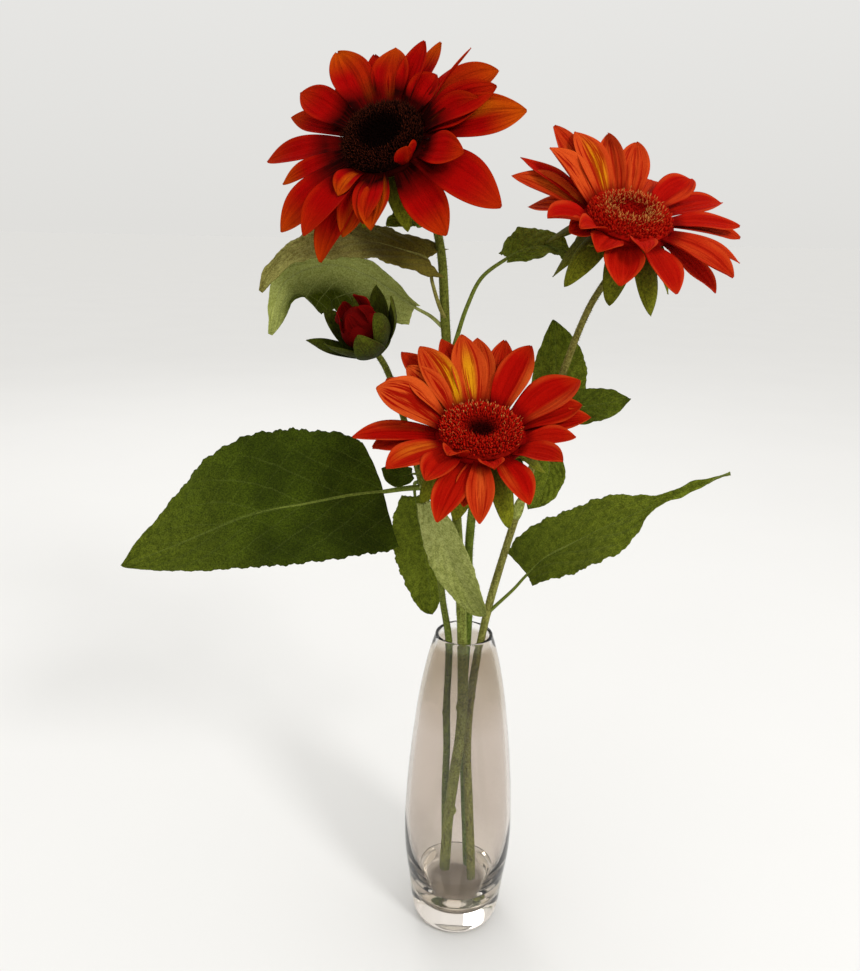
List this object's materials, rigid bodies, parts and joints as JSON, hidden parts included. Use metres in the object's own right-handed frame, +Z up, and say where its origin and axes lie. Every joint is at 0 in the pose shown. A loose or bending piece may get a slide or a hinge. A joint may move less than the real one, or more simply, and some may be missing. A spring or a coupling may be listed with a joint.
{
  "type": "red sunflowers in a glass bud vase",
  "caption": "Red and orange sunflowers with a bud and leafy stems, standing in a tall barrel-shaped clear glass bud vase with a little water.",
  "frame": {"origin": "centre of the vase's flat underside", "axes": "+Z up through the vase's axis, -Y towards the viewer that the blooms face, +X to the viewer's right"},
  "size_m": [0.4217, 0.1828, 0.6607],
  "materials": {
    "clear_glass": "clear polished glass with a faint warm grey tint",
    "water": "clear still water",
    "stem_green": "matt grey-green, finely hairy",
    "leaf_green": "matt dark green, finely hairy, paler veins and underside",
    "calyx_green": "matt yellow-green, ribbed",
    "petal_deep_red": "matt velvety deep red with orange tips",
    "petal_orange_red": "matt orange-red with gold streaks and pleats",
    "disc_dark_brown": "matt, bristly, nearly black brown",
    "disc_red_gold": "matt, bristly, dark red with golden tips"
  },
  "bodies": {
    "root": {"vase": "clear_glass", "water": "water", "stem_left": "stem_green", "stem_right": "stem_green", "stem_front": "stem_green", "stem_bud": "stem_green", "bloom_left_calyx": "calyx_green", "bloom_left_petals": "petal_deep_red", "bloom_left_disc": "disc_dark_brown", "bloom_right_calyx": "calyx_green", "bloom_right_petals": "petal_orange_red", "bloom_right_disc": "disc_red_gold", "bloom_front_calyx": "calyx_green", "bloom_front_petals": "petal_orange_red", "bloom_front_disc": "disc_red_gold", "bud_sepals": "calyx_green", "bud_petals": "petal_deep_red", "leaf_large_left": "leaf_green", "leaf_right": "leaf_green", "leaf_hanging_back": "leaf_green", "leaf_hanging_front": "leaf_green", "leaf_small_left": "leaf_green", "leaf_upper_pale": "leaf_green", "leaf_upper_dark": "leaf_green", "leaf_under_left_bloom": "leaf_green", "leaf_by_right_bloom": "leaf_green", "leaf_behind_right_stem": "leaf_green", "leaf_small_right": "leaf_green", "leaf_low_right": "leaf_green"}
  },
  "joints": []
}
